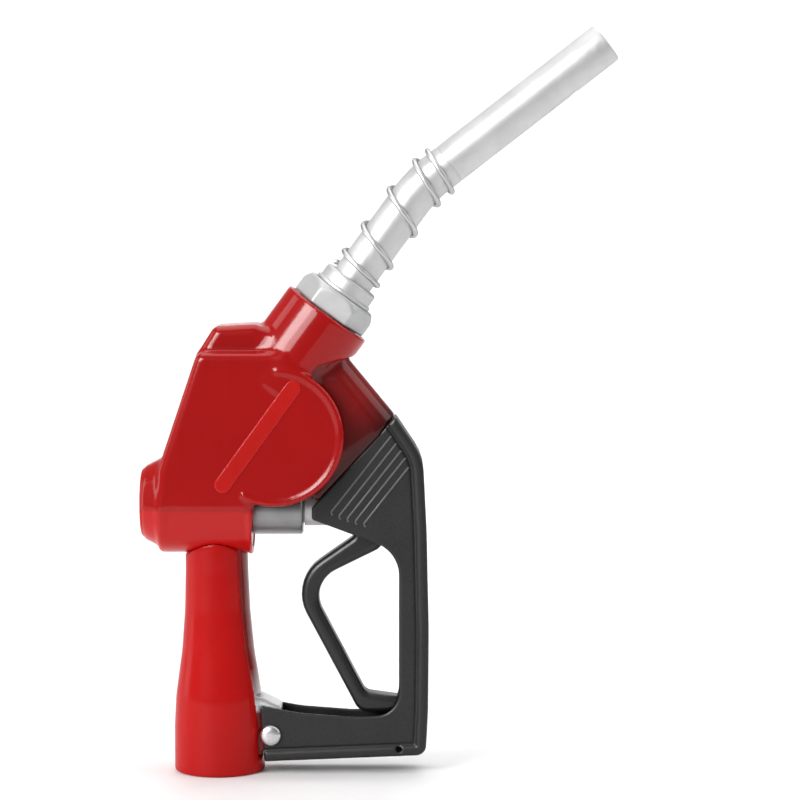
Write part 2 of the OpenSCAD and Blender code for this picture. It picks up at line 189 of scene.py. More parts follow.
def sample(field, at):
    """Field at points given in grid steps, and its slope there."""
    base = np.clip(at.astype(int), 0, np.array(field.shape) - 2)
    f = at - base
    i, j, k = base.T
    corner = {(a, b, c): field[i + a, j + b, k + c] for a in (0, 1) for b in (0, 1) for c in (0, 1)}
    wx, wy, wz = (1 - f[:, 0], f[:, 0]), (1 - f[:, 1], f[:, 1]), (1 - f[:, 2], f[:, 2])
    value, gx, gy, gz = (np.zeros(len(at)) for _ in range(4))
    for (a, b, c), v in corner.items():
        value += v * wx[a] * wy[b] * wz[c]
        gx += v * (2 * a - 1) * wy[b] * wz[c]
        gy += v * wx[a] * (2 * b - 1) * wz[c]
        gz += v * wx[a] * wy[b] * (2 * c - 1)
    return value, np.stack([gx, gy, gz], 1)


def surface_of(field):
    """Vertices in grid steps, and four-sided faces, of the surface where a field is zero."""
    inside = field < 0
    nx, ny, nz = (n - 1 for n in inside.shape)
    count = sum(inside[a:nx + a, b:ny + b, c:nz + c].astype(np.int8) for a, b, c in CORNERS)
    cells = np.argwhere((count > 0) & (count < 8))
    number = np.full(count.shape, -1, np.int64)
    number[tuple(cells.T)] = np.arange(len(cells))
    value = [field[tuple((cells + c).T)] for c in CORNERS]
    total, hits = np.zeros((len(cells), 3)), np.zeros(len(cells))
    for a, b in EDGES:
        crossed = (value[a] < 0) != (value[b] < 0)
        t = np.where(crossed, value[a] / np.where(crossed, value[a] - value[b], 1), 0)
        total += crossed[:, None] * (CORNERS[a] + t[:, None] * (CORNERS[b] - CORNERS[a]))
        hits += crossed
    points = cells + total / hits[:, None]
    faces = []
    for axis in range(3):
        one, two = [(1, 2), (2, 0), (0, 1)][axis]
        size = list(field.shape)
        size[axis] -= 1
        low = np.take(inside, range(size[axis]), axis)
        high = np.take(inside, range(1, size[axis] + 1), axis)
        edge = np.argwhere(low != high)
        edge = edge[(edge[:, one] > 0) & (edge[:, two] > 0)
                    & (edge[:, one] < size[one] - 1) & (edge[:, two] < size[two] - 1)]
        step_one, step_two = np.eye(3, dtype=int)[one], np.eye(3, dtype=int)[two]
        loop = [edge - step_one - step_two, edge - step_two, edge, edge - step_one]
        quad = np.stack([number[tuple(c.T)] for c in loop], 1)
        outward = low[tuple(edge.T)]
        quad[~outward] = quad[~outward][:, ::-1]
        faces.append(quad)
    return points, np.concatenate(faces)


def new_object(name, points, faces, normals=None):
    """A smooth-shaded mesh object from points in millimetres."""
    mesh = bpy.data.meshes.new(name)
    faces = faces.tolist() if isinstance(faces, np.ndarray) else faces
    mesh.from_pydata((np.asarray(points) * MM).tolist(), [], faces)
    mesh.validate()
    mesh.shade_smooth()
    if normals is not None:
        mesh.normals_split_custom_set_from_vertices(normals.tolist())
    obj = bpy.data.objects.new(name, mesh)
    bpy.context.scene.collection.objects.link(obj)
    return obj


def solid(name, distance, low, high, step):
    """A mesh object from a distance function over a box, at a grid step, all in millimetres."""
    low, high = np.array(low, float) - 2 * step, np.array(high, float) + 2 * step
    size = np.ceil((high - low) / step).astype(int) + 1
    x, y, z = (low[i] + step * np.arange(size[i]) for i in range(3))
    p = (x[:, None, None].astype(np.float32), y[None, :, None].astype(np.float32),
         z[None, None, :].astype(np.float32))
    field = np.broadcast_to(distance(p), tuple(size)).astype(np.float32)
    points, faces = surface_of(field)
    for _ in range(PROJECTIONS):
        value, slope = sample(field, points)
        points -= slope * (value / np.maximum((slope * slope).sum(1), 1e-6))[:, None]
    around = np.concatenate([np.eye(3), -np.eye(3)])
    slope = sum(sample(field, points + NORMAL_REACH * step_off)[1] for step_off in around)
    slope /= np.maximum(np.linalg.norm(slope, axis=1), 1e-9)[:, None]
    return new_object(name, low + points * step, faces, slope)


def spun(name, profile, origin, direction, around=96):
    """Spins a closed profile of (distance along the axis, radius) round an axis."""
    direction = np.array(direction, float)
    side = np.array([direction[2], 0, -direction[0]])
    across = ACROSS
    if abs(direction[1]) > 0.5:
        side, across = np.array([1.0, 0, 0]), np.array([0, 0, 1.0])
    m = len(profile)
    points, faces = [], []
    for i in range(around):
        a = 2 * math.pi * i / around
        out = math.cos(a) * side + math.sin(a) * across
        points += [np.array(origin) + t * direction + q * out for t, q in profile]
    for i in range(around):
        k = (i + 1) % around
        faces += [(i * m + j, i * m + (j + 1) % m, k * m + (j + 1) % m, k * m + j) for j in range(m)]
    obj = new_object(name, np.array(points), faces)
    weld(obj)
    return obj


SAME_POINT = 0.002


def weld(obj):
    """Joins points that coincide, and turns all faces outwards."""
    bm = bmesh.new()
    bm.from_mesh(obj.data)
    bmesh.ops.remove_doubles(bm, verts=bm.verts, dist=SAME_POINT * MM)
    bmesh.ops.recalc_face_normals(bm, faces=bm.faces)
    bm.to_mesh(obj.data)
    bm.free()
    obj.data.shade_smooth()


def rounded_profile(corners):
    """A closed profile with rounded corners, for a spun part."""
    return [tuple(q) for q in rounded_outline(corners)]


def finish_piece(obj, body, nodes, material):
    """Rides on a body, stands for CAD nodes, and takes a material."""
    obj.data.materials.clear()
    obj.data.materials.append(material)
    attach(obj, body)
    if nodes:
        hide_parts(*nodes)
    return obj


# ---- Materials ----

def links(material):
    return material.node_tree.nodes, material.node_tree.links


def start_material(name, colour, roughness, metallic=0.0, coat=0.0, coat_roughness=0.1):
    """A material with its plain values on the shader, and nothing linked yet."""
    material = bpy.data.materials.new(name)
    material.use_nodes = True
    nodes, _ = links(material)
    shader = nodes["Principled BSDF"]
    shader.inputs["Base Color"].default_value = (*colour, 1)
    shader.inputs["Roughness"].default_value = roughness
    shader.inputs["Metallic"].default_value = metallic
    shader.inputs["Coat Weight"].default_value = coat
    shader.inputs["Coat Roughness"].default_value = coat_roughness
    return material, shader


def coordinates(material, stretch=(1, 1, 1), turn=(0, 0, 0)):
    """Object coordinates in metres, turned and stretched."""
    nodes, wires = links(material)
    source = nodes.new("ShaderNodeTexCoord")
    mapping = nodes.new("ShaderNodeMapping")
    mapping.inputs["Scale"].default_value = stretch
    mapping.inputs["Rotation"].default_value = turn
    wires.new(source.outputs["Object"], mapping.inputs["Vector"])
    return mapping.outputs["Vector"]


def noise(material, vector, scale, detail=3.0, roughness=0.55):
    nodes, wires = links(material)
    node = nodes.new("ShaderNodeTexNoise")
    node.inputs["Scale"].default_value = scale
    node.inputs["Detail"].default_value = detail
    node.inputs["Roughness"].default_value = roughness
    wires.new(vector, node.inputs["Vector"])
    return node.outputs["Fac"]


def spread(material, value, low, high, from_low=0.3, from_high=0.7):
    """Maps a value from one range onto another."""
    nodes, wires = links(material)
    node = nodes.new("ShaderNodeMapRange")
    node.inputs["From Min"].default_value = from_low
    node.inputs["From Max"].default_value = from_high
    node.inputs["To Min"].default_value = low
    node.inputs["To Max"].default_value = high
    wires.new(value, node.inputs["Value"])
    return node.outputs["Result"]


def blend_colours(material, amount, first, second):
    """Mixes two colours, each a socket or a triple, by an amount."""
    nodes, wires = links(material)
    node = nodes.new("ShaderNodeMix")
    node.data_type = "RGBA"
    wires.new(amount, node.inputs["Factor"])
    for socket, colour in ((node.inputs[6], first), (node.inputs[7], second)):
        if isinstance(colour, tuple):
            socket.default_value = (*colour, 1)
        else:
            wires.new(colour, socket)
    return node.outputs[2]


def bump(material, shader, heights):
    """Adds bumps, each (value, strength, depth in millimetres), one on top of another."""
    nodes, wires = links(material)
    before = None
    for value, strength, depth in heights:
        node = nodes.new("ShaderNodeBump")
        node.inputs["Strength"].default_value = strength
        node.inputs["Distance"].default_value = depth * MM
        wires.new(value, node.inputs["Height"])
        if before is not None:
            wires.new(before, node.inputs["Normal"])
        before = node.outputs["Normal"]
    wires.new(before, shader.inputs["Normal"])


def edge_wear(material, low, high):
    """1 on sharp outer edges, 0 elsewhere."""
    nodes = material.node_tree.nodes
    geometry = nodes.new("ShaderNodeNewGeometry")
    return spread(material, geometry.outputs["Pointiness"], 0, 1, low, high)


def place(material, part):
    """One coordinate of the surface, in metres."""
    nodes, wires = links(material)
    split = nodes.new("ShaderNodeSeparateXYZ")
    wires.new(coordinates(material), split.inputs["Vector"])
    return split.outputs[part]


def times(material, a, b):
    """The product of two values."""
    nodes, wires = links(material)
    node = nodes.new("ShaderNodeMath")
    node.operation = "MULTIPLY"
    wires.new(a, node.inputs[0])
    wires.new(b, node.inputs[1])
    return node.outputs[0]


def slanted(material, x, z, a, b, through):
    """Distance in metres from a line in the plane of x and z, given its normal and a point in millimetres."""
    nodes, wires = links(material)
    first, second = nodes.new("ShaderNodeMath"), nodes.new("ShaderNodeMath")
    first.operation = second.operation = "MULTIPLY_ADD"
    wires.new(x, first.inputs[0])
    first.inputs[1].default_value = a
    first.inputs[2].default_value = -(a * through[0] + b * through[1]) * MM
    wires.new(z, second.inputs[0])
    second.inputs[1].default_value = b
    wires.new(first.outputs[0], second.inputs[2])
    return second.outputs[0]


def scaled(colour, factor):
    """A colour times a factor."""
    return tuple(factor * c for c in colour)


def red_vinyl(name, base, shade, coat, painted_light_below=None):
    """Soft moulded vinyl: fine skin, slow colour change, faint scuffs and rubbed edges.

    The coat is the weight of its gloss, and below the given height, in millimetres, the red is painted lighter:
    painted light thrown up from the floor.
    """
    material, shader = start_material(name, base, 0.38, coat=coat, coat_roughness=0.10)
    shader.inputs["Specular IOR Level"].default_value = 0.05
    _, wires = links(material)
    at = coordinates(material)
    cloud = spread(material, noise(material, at, 22), 0, 1)
    colour = blend_colours(material, cloud, base, shade)
    rubbed = tuple(1.3 * c + 0.005 for c in base)
    colour = blend_colours(material, edge_wear(material, 0.53, 0.60), colour, rubbed)
    # Painted light: the red is lighter below the given height, standing in for the floor's light on the undersides
    if painted_light_below:
        starts, ends = (painted_light_below - 0.7) * MM, (painted_light_below + 0.7) * MM
        low = spread(material, place(material, "Z"), 1, 0, starts, ends)
        colour = blend_colours(material, low, colour, scaled(base, 1.25))
    wires.new(colour, shader.inputs["Base Color"])
    scuffs = noise(material, coordinates(material, (1, 1, 0.25)), 260, 4, 0.7)
    wires.new(spread(material, scuffs, 0.30, 0.46), shader.inputs["Roughness"])
    skin = noise(material, at, 1500, 2)
    waves = noise(material, at, 90, 2)
    bump(material, shader, [(skin, 0.16, 0.10), (waves, 0.20, 0.25)])
    return material


def cast_paint(name, base, shade, bare_metal):
    """Red paint over a casting, thin and worn through to bare metal towards the lug, and darkened near the guard
    as painted shade.
    """
    material, shader = start_material(name, base, 0.36, coat=0.4, coat_roughness=0.08)
    shader.inputs["Specular IOR Level"].default_value = 0.12
    _, wires = links(material)
    at = coordinates(material)
    grain = noise(material, at, 700, 4, 0.65)
    colour = blend_colours(material, spread(material, noise(material, at, 30), 0, 1), base, shade)
    x, z = place(material, "X"), place(material, "Z")
    # Bare metal on top of the lug and a little way up the spine
    below, above = spread(material, z, 1, 0, 0.034, 0.052), spread(material, z, 0, 1, 0.0295, 0.0315)
    over_lug = times(material, below, above)
    bare = times(material, over_lug, spread(material, x, 0, 1, 0.010, 0.015))
    # Painted shade where the wedge meets the guard: the red goes nearly black towards the guard's edge, standing
    # in for the shadow that falls there
    from_guard = slanted(material, x, z, -GUARD_SLOPE[1], GUARD_SLOPE[0], GUARD_TOP)
    painted_shade_near_guard = spread(material, from_guard, 1, 0, -0.002, 0.018)
    painted_shade = times(material, painted_shade_near_guard, spread(material, x, 0, 1, 0.036, 0.042))
    colour = blend_colours(material, painted_shade, colour, scaled(base, 0.06))
    wires.new(blend_colours(material, bare, colour, bare_metal), shader.inputs["Base Color"])
    wires.new(bare, shader.inputs["Metallic"])
    wires.new(spread(material, grain, 0.30, 0.44), shader.inputs["Roughness"])
    waves = noise(material, at, 60, 2)
    bump(material, shader, [(grain, 0.25, 0.12), (waves, 0.15, 0.4)])
    return material


def powder_coat(name, base, light, roughness, grain_scale, depth):
    """Black powder coat: fine even texture, a little lighter where it is rubbed."""
    material, shader = start_material(name, base, roughness)
    shader.inputs["Specular IOR Level"].default_value = 0.4
    _, wires = links(material)
    at = coordinates(material)
    grain = noise(material, at, grain_scale, 3, 0.6)
    colour = blend_colours(material, spread(material, grain, 0, 1, 0.35, 0.75), base, light)
    colour = blend_colours(material, edge_wear(material, 0.53, 0.62), colour, scaled(light, 2.2))
    wires.new(colour, shader.inputs["Base Color"])
    handled = spread(material, noise(material, at, 45), roughness - 0.06, roughness + 0.06)
    wires.new(handled, shader.inputs["Roughness"])
    waves = noise(material, at, 110, 2)
    bump(material, shader, [(grain, 0.5, depth), (waves, 0.12, 0.2)])
    return material


def metal(name, base, shade, roughness, grain, depth, stretch=(1, 1, 1), turn=(0, 0, 0), edge=1.0, bare=1.0):
    """Metal with a grain that may be drawn out along one direction.

    edge is how much it shines at a glancing angle, and bare is 1 for clean metal and less where it is dull.
    """
    material, shader = start_material(name, base, roughness, metallic=bare)
    shader.inputs["Specular Tint"].default_value = (edge, edge, edge, 1)
    _, wires = links(material)
    lines = noise(material, coordinates(material, stretch, turn), grain, 4, 0.65)
    blotch = spread(material, noise(material, coordinates(material), 70, 3), 0, 1)
    wires.new(blend_colours(material, blotch, base, shade), shader.inputs["Base Color"])
    wires.new(spread(material, lines, roughness - 0.07, roughness + 0.09), shader.inputs["Roughness"])
    bump(material, shader, [(lines, 0.35, depth)])
    return material


def rubber(name):
    """Matt black seal rubber."""
    material, shader = start_material(name, (0.012, 0.012, 0.012), 0.62)
    _, wires = links(material)
    grain = noise(material, coordinates(material), 900, 3)
    wires.new(spread(material, grain, 0.55, 0.7), shader.inputs["Roughness"])
    bump(material, shader, [(grain, 0.3, 0.04)])
    return material


RED = (0.41, 0.0030, 0.0030)
DEEP_RED = (0.36, 0.0020, 0.0020)
SLEEVE_RED = (0.51, 0.0065, 0.0060)
# The pad's red is lighter than the cover's: a painted highlight, for raised lettering whose edges catch the light
PAD_RED = (0.55, 0.012, 0.010)
# The casting's red is kept darker than the cover's: painted shade, for the wedge that sits back in the cover's
# shadow
CASTING_RED = (0.25, 0.003, 0.003)
CASTING_SHADE = (0.20, 0.002, 0.002)
BARE = (0.60, 0.61, 0.62)

# A grain drawn out along the spout's straight end, rings round a turned part, and lines across a ground one
TIP_TURN = (0, -math.acos(float(TIP_DIR[2])), 0)
ALONG = (1, 1, 0.03)
TURNED = (0.06, 1, 1)
GROUND = (1, 0.05, 1)

# By material slot, with four more for pieces that differ from the rest of their slot
MATERIALS = {
    # The cover's red is painted lighter below the valve's axis: painted light from the floor
    "red_vinyl": red_vinyl("red_vinyl_skin", RED, DEEP_RED, 0.5, VALVE_Z + 0.8),
    "red_vinyl_cap": red_vinyl("red_vinyl_cap_skin", SLEEVE_RED, RED, 0.3),
    "sleeve": red_vinyl("sleeve_skin", SLEEVE_RED, scaled(SLEEVE_RED, 0.9), 0.18),
    "pad": red_vinyl("pad_skin", PAD_RED, scaled(PAD_RED, 0.85), 0.2),
    "painted_casting": cast_paint("painted_casting_coat", CASTING_RED, CASTING_SHADE, BARE),
    "black_guard": powder_coat("black_guard_coat", (0.008, 0.008, 0.008), (0.017, 0.017, 0.017),
                               0.44, 1400, 0.10),
    # The ribs are a lighter black than the guard so that they show as light lines: a painted highlight along their
    # edges
    "ribs": powder_coat("ribs_painted_highlight", (0.05, 0.05, 0.05), (0.07, 0.07, 0.07), 0.36, 1400, 0.05),
    "black_lever": powder_coat("black_lever_coat", (0.010, 0.010, 0.010), (0.019, 0.019, 0.019),
                               0.34, 1000, 0.05),
    "nut_alloy": metal("nut_cast", (0.54, 0.545, 0.545), (0.45, 0.455, 0.455), 0.55, 900, 0.06, bare=0.7),
    "cast_alloy": metal("turned_alloy", (0.60, 0.60, 0.602), (0.52, 0.52, 0.522), 0.44, 500, 0.02,
                        edge=0.5, bare=0.5),
    # The bushing's alloy is much darker than the collar's: painted shadow, for the shade the lobe throws on it
    "alloy_painted_shadow": metal("alloy_painted_shadow", (0.28, 0.28, 0.285), (0.22, 0.22, 0.225), 0.36, 500, 0.02, TURNED),
    "spout_aluminium": metal("drawn_aluminium", (0.68, 0.68, 0.68), (0.60, 0.60, 0.602), 0.42, 400, 0.004,
                             ALONG, TIP_TURN, edge=0.35, bare=0.4),
    "spring_steel": metal("spring_wire", (0.60, 0.605, 0.61), (0.50, 0.505, 0.51), 0.38, 500, 0.02,
                          edge=0.5, bare=0.8),
    "rivet_steel": metal("rivet_zinc", (0.64, 0.65, 0.66), (0.56, 0.57, 0.58), 0.30, 400, 0.01),
    "stainless": metal("ground_steel", (0.58, 0.59, 0.60), (0.50, 0.51, 0.52), 0.24, 600, 0.02, GROUND),
    "bronze": metal("turned_bronze", (0.55, 0.38, 0.17), (0.44, 0.29, 0.12), 0.34, 500, 0.04, TURNED),
    "seal_rubber": rubber("seal_rubber_skin"),
}

# ---- Soft cover ----

# Outlines in x and z, each corner with its radius
COVER_FACE = [(-29.5, 129.5, 0.5), (-28.3, 151.5, 4), (-8.9, 208.7, 5), (34, 208.7, 3), (41, 199, 2),
              (50, 180, 2), (27.5, 137, 1), (18, 137, 1), (18, 129.5, 0.5)]
HUMP = [(-10, 190, 1), (-8.9, 208.4, 3), (-1.0, 221.0, 5), (19, 222.2, 4), (38, 215, 3), (40, 195, 1)]
BELOW_NECK = [(48, 186, 1), (53.3, 194.1, 3), (61.5, 203.6, 3), (68, 205.6, 1), (100, 212, 1),
              (100, 120, 1), (48, 120, 1)]
WINDOW = [(17.2, 90, 1), (17.2, 160, 6), (33, 192, 4), (42, 201, 2), (67, 205.5, 2), (130, 218, 1),
          (130, 90, 1)]
WINDOW_HALF = 19.8

COVER_HALF = 23.4
COVER_EDGE = 4.0
COVER_WALL = 2.7
HUMP_HALF = 17.0
HUMP_EDGE = 5.0

# The lobe, and the bead round it: its section's radius and middle, and where it starts and leans
LOBE_MIDDLE = (28.3, 167.7)
LOBE_R = 34.0
RIM_R = 1.95
RIM_PATH_R = LOBE_R - 1.9
RIM_HALF = 22.4
RIM_START = -8.0
RIM_LEAN = math.radians(-15)

# The barrel over the main valve, the bead round its open end, and the nose over the cap
BARREL_R = 21.7
BARREL_FROM, BARREL_TO = -29.0, 18.0
BARREL_BORE = 19.3
END_RIM_X = 16.2
END_RIM_PATH_R = 20.9
END_RIM_R = 1.7
NOSE_R = 17.5
NOSE_WIDEST = 22.4
NOSE_SLOPE = 0.52
NOSE_FROM, NOSE_TO = -37.6, -24.0

NECK_R = 23.0
NECK_BORE = 20.6
NECK_LENGTH = 45.0
HANDLE_OPENING = 12.7

PAD_MIDDLE = (20.5, 168.0)
PAD_LEAN = math.radians(54)
PAD_HALF_LENGTH = 29.0
PAD_HALF_WIDTH = 4.1
PAD_HEIGHT = 0.6


def cover_outside(p):
    """The cover as if it were solid."""
    x, y, z = p
    lobe = np.hypot(x - LOBE_MIDDLE[0], z - LOBE_MIDDLE[1])
    face = join(flat_distance(rounded_outline(COVER_FACE), x, z), lobe - LOBE_R, 3)
    outside = common(face, np.abs(y) - COVER_HALF, COVER_EDGE)
    # Bead round the lobe
    right = (x - LOBE_MIDDLE[0]) * math.cos(RIM_LEAN) + (z - LOBE_MIDDLE[1]) * math.sin(RIM_LEAN)
    rim = np.hypot(lobe - RIM_PATH_R, np.abs(y) - RIM_HALF) - RIM_R
    outside = join(outside, common(rim, RIM_START - right, 1.0), 0.4)
    # Barrel and its bead
    from_valve = np.hypot(y, z - VALVE_Z)
    barrel = common(from_valve - BARREL_R, np.maximum(BARREL_FROM - x, x - BARREL_TO), 2)
    end_rim = np.hypot(x - END_RIM_X, from_valve - END_RIM_PATH_R) - END_RIM_R
    outside = join(outside, barrel, 1.2)
    outside = join(outside, common(end_rim, z - VALVE_Z - 0.5, 1.0), 0.5)
    # Nose
    from_nose = np.hypot(y, z - NOSE_Z)
    flank = (from_nose - (NOSE_R + NOSE_SLOPE * (x + 37.2))) / math.hypot(1, NOSE_SLOPE)
    cone = np.maximum(flank, from_nose - NOSE_WIDEST)
    outside = join(outside, common(cone, np.maximum(NOSE_FROM - x, x - NOSE_TO), 2.5), 2)
    # Hump over the vacuum chamber, and the neck
    outside = join(outside, plate(p, HUMP, HUMP_HALF, HUMP_EDGE), 2.5)
    neck = rod(p, NECK_END, NECK_DIR, -NECK_LENGTH, 0, NECK_R, 1.2)
    neck = cut(neck, plate(p, BELOW_NECK, 60, 0.1), 1.2)
    return join(outside, neck, 2.5)


def cover_distance(p):
    x, y, z = p
    outside = cover_outside(p)
    shell = np.maximum(outside, -(outside + COVER_WALL))
    # Ways out for the casting's wedge, the stem, the spout and the handle
    shell = cut(shell, plate(p, WINDOW, WINDOW_HALF, 1), 0.8)
    shell = cut(shell, common(np.hypot(y, z - VALVE_Z) - BARREL_BORE, 8 - x, 0.1), 0.6)
    t, q, _ = axial(p, NECK_END, NECK_DIR)
    shell = cut(shell, np.maximum(q - NECK_BORE, -8 - t), 0.6)
    return cut(shell, np.maximum(np.hypot(x + 0.5, y) - HANDLE_OPENING, z - 125), 0.4)


def pad_distance(p):
    """The blank raised pad on each face of the cover."""
    x, y, z = p
    from_x, from_z = x - PAD_MIDDLE[0], z - PAD_MIDDLE[1]
    along = from_x * math.cos(PAD_LEAN) + from_z * math.sin(PAD_LEAN)
    off = -from_x * math.sin(PAD_LEAN) + from_z * math.cos(PAD_LEAN)
    pad = np.hypot(np.maximum(np.abs(along) - PAD_HALF_LENGTH, 0), off) - PAD_HALF_WIDTH
    layer = np.maximum(np.abs(y) - COVER_HALF - PAD_HEIGHT, COVER_HALF - 1.5 - np.abs(y))
    return common(pad, layer, 0.5)


# ---- Sleeve on the handle ----

# Half of the sleeve's section, leaning a little: distance from its axis, and height
SLEEVE = [(0, -2, 0), (22.4, -2, 0.5), (22.2, 22, 40), (21.2, 38, 30), (17.9, 60, 50), (16.2, 80, 60),
          (15.5, 100, 60), (15.3, 122, 1), (0, 122, 0)]
SLEEVE_LEAN = math.radians(-0.6)
# The handle's core under it: wide round the inlet, then narrow, about an axis at CORE_X
CORE_X = -0.5
CORE_HEIGHTS = [26, 40]
CORE_RADII = [19.6, 12.6]
# Cut out of the sleeve for the spine, the lug and the guard's ends
SPINE_SLOT = [(4, 130, 1), (60, 130, 1), (60, 30, 1), (4, 30, 1)]
GUARD_SLOT = [(19, 34.5, 1), (60, 34.5, 1), (60, 4, 1), (21.8, 4, 1)]
LUG_SLOT = [(8, 40, 1), (60, 40, 1), (60, 7.9, 1), (8, 7.9, 1)]
SPINE_HALF = 9.8
GUARD_SLOT_HALF = 11.9
LUG_SLOT_HALF = 9.4


def sleeve_outside(p):
    x, y, z = p
    u = x * math.cos(SLEEVE_LEAN) - z * math.sin(SLEEVE_LEAN)
    h = x * math.sin(SLEEVE_LEAN) + z * math.cos(SLEEVE_LEAN)
    return flat_distance(rounded_outline(SLEEVE), np.hypot(u, y), h + 0 * y)


def handle_core(p):
    """Distance from the side of the handle's core, without its ends."""
    x, y, z = p
    return np.hypot(x - CORE_X, y) - np.interp(z, CORE_HEIGHTS, CORE_RADII).astype(np.float32)


def sleeve_distance(p):
    _, y, z = p
    outside = common(sleeve_outside(p), -z, 1.5)
    shell = cut(outside, handle_core(p), 0.8)
    shell = cut(shell, plate(p, SPINE_SLOT, SPINE_HALF, 0.3), 0.7)
    shell = cut(shell, plate(p, GUARD_SLOT, GUARD_SLOT_HALF, 0.3), 0.5)
    shell = cut(shell, plate(p, LUG_SLOT, LUG_SLOT_HALF, 0.3), 0.4)
    return cut(shell, np.hypot(y, z - VALVE_Z) - BARREL_R - 0.2, 0.8)


# ---- Casting ----

LUG = [(10, 33, 1), (20.5, 37.6, 2), (31.0, 32.6, 3), (32, 10.6, 1), (22, 10.3, 0.5), (21.5, 8.2, 0.5),
       (10, 8.2, 1)]
WEDGE = [(40, 206, 2), (63.5, 205.6, 5), (93.5, 169.2, 1.5), (57, 143.6, 3), (38, 146, 3), (28, 165, 3)]
WEDGE_LOW = [(40, 196, 2), (60, 196, 4), (77, 174.5, 3), (79, 167.8, 1), (57, 143.6, 3), (38, 146, 3),
             (28, 165, 3)]
TONGUE = [(73, 161.4, 1), (82.8, 172, 1), (90, 161.5, 1.5), (84, 160.4, 1)]
SKIRT = [(57.4, 144.3, 0.5), (49.5, 135.7, 1), (43, 139, 1), (42.3, 148, 1)]
BRIDGE = [(-8, 138, 1), (16.5, 138, 1), (16.5, 152, 1), (8, 172, 2), (-8, 165, 1)]
LUG_HALF = 9.0
WEDGE_HALF = 12.5
WEDGE_EDGE = 12.0
TONGUE_HALF = 9.1
SKIRT_HALF, SKIRT_INNER = 12.4, 8.9
BRIDGE_HALF = 15.0
CORE_TOP = 118.0

# Round parts of the casting, each a little inside the cover, and their bores
INNER_BARREL_R = 19.1
INNER_BARREL_FROM, INNER_BARREL_TO = -30.0, 16.7
LOBE_CORE_R, LOBE_CORE_HALF = 24.0, 21.0
INNER_NECK_R = 20.4
INNER_NECK_LENGTH = 56.0
NECK_PASSAGE_R = 16.5
NECK_PASSAGE_DEPTH = 30.0
PLUNGER_TUBE_R = 17.3
PLUNGER_TUBE_FROM, PLUNGER_TUBE_TO = -38.2, -16.0
PLUNGER_BORE_R = 6.6
PLUNGER_BORE_FROM = 33.0


def casting_distance(p):
    x, y, z = p
    # Handle: core, spine showing through the sleeve, and lug
    body = common(handle_core(p), np.maximum(-z, z - CORE_TOP), 0.8)
    beside_spine = np.maximum(np.abs(y) - SPINE_HALF + 0.05, np.maximum(4 - x, z - 114))
    strip = common(sleeve_outside(p), beside_spine, 0.8)
    body = join(body, common(strip, 20 - z, 0.5), 1)
    body = join(body, plate(p, LUG, LUG_HALF, 1.0), 1.5)
    # Barrel, lobe, bridge, neck and the plunger's tube
    barrel_ends = np.maximum(INNER_BARREL_FROM - x, x - INNER_BARREL_TO)
    barrel = common(np.hypot(y, z - VALVE_Z) - INNER_BARREL_R, barrel_ends, 1)
    body = join(body, barrel, 2)
    body = join(body, cross_rod(p, LOBE[0], LOBE[2], LOBE_CORE_R, LOBE_CORE_HALF, 2), 2)
    body = join(body, plate(p, BRIDGE, BRIDGE_HALF, 2), 2)
    body = join(body, rod(p, NECK_END, NECK_DIR, -INNER_NECK_LENGTH, -0.1, INNER_NECK_R, 0.8), 2)
    tube = rod(p, LOBE, PLUNGER_DIR, PLUNGER_TUBE_FROM, PLUNGER_TUBE_TO, PLUNGER_TUBE_R, 1)
    body = join(body, tube, 2)
    # Wedge up to the guard's edge, tongue between the guard's cheeks, and skirts
    past_guard = (x - GUARD_TOP[0]) * GUARD_SLOPE[1] - (z - GUARD_TOP[1]) * GUARD_SLOPE[0]
    ridge = common(plate(p, WEDGE, WEDGE_HALF, WEDGE_EDGE), past_guard + 0.3, 0.8)
    body = join(body, ridge, 2.5)
    body = join(body, plate(p, WEDGE_LOW, WEDGE_HALF, 1.5), 3)
    body = join(body, plate(p, TONGUE, TONGUE_HALF, 1), 1)
    body = join(body, np.maximum(plate(p, SKIRT, SKIRT_HALF, 1), SKIRT_INNER - np.abs(y)), 0.5)
    # Inlet, neck's bore, plunger's bore and the rivet's hole
    body = cut(body, np.maximum(np.hypot(x, y) - INLET_R - 0.9, z - INLET_DEPTH), 1.0)
    t, q, _ = axial(p, NECK_END, NECK_DIR)
    body = cut(body, np.maximum(q - NECK_PASSAGE_R, -NECK_PASSAGE_DEPTH - t), 0.6)
    t, q, _ = axial(p, LOBE, PLUNGER_DIR)
    body = cut(body, np.maximum(q - PLUNGER_BORE_R, PLUNGER_BORE_FROM - t), 0.8)
    return cut(body, np.hypot(x - RIVET[0], z - RIVET[1]) - RIVET_HOLE_R, 0.3)

# ---- Guard ----

# Outer and inner edge, and an outline whose right side is the outer edge alone
GUARD_SIDE = [(*GUARD_TOP, 1), (100.8, 156.5, 26), (102.6, 120, 120), (103.7, 70, 150), (103.3, 30, 60),
              (102.2, 8.9, 5), (22.6, 5.7, 1)]
GUARD_GAP = [(20.4, 33.6, 1), (40.2, 30.0, 40), (66, 28.0, 30), (89, 29.0, 15), (89, 110.0, 17),
             (46.2, 125.9, 1), (46.2, 131.8, 1)]
GUARD_WHOLE = [(47.2, 236, 0.1), *GUARD_SIDE[1:-1], (-80, 1.5, 0.1), (-80, 236, 0.1)]
GUARD_HALF = 11.1
CHEEK_INNER = 9.3
WEB = 4.0
BEAD = 5.2
BEAD_HEIGHT = 0.6
CORNER_HOLE = (89.0, 11.8)
CORNER_HOLE_R = 1.5


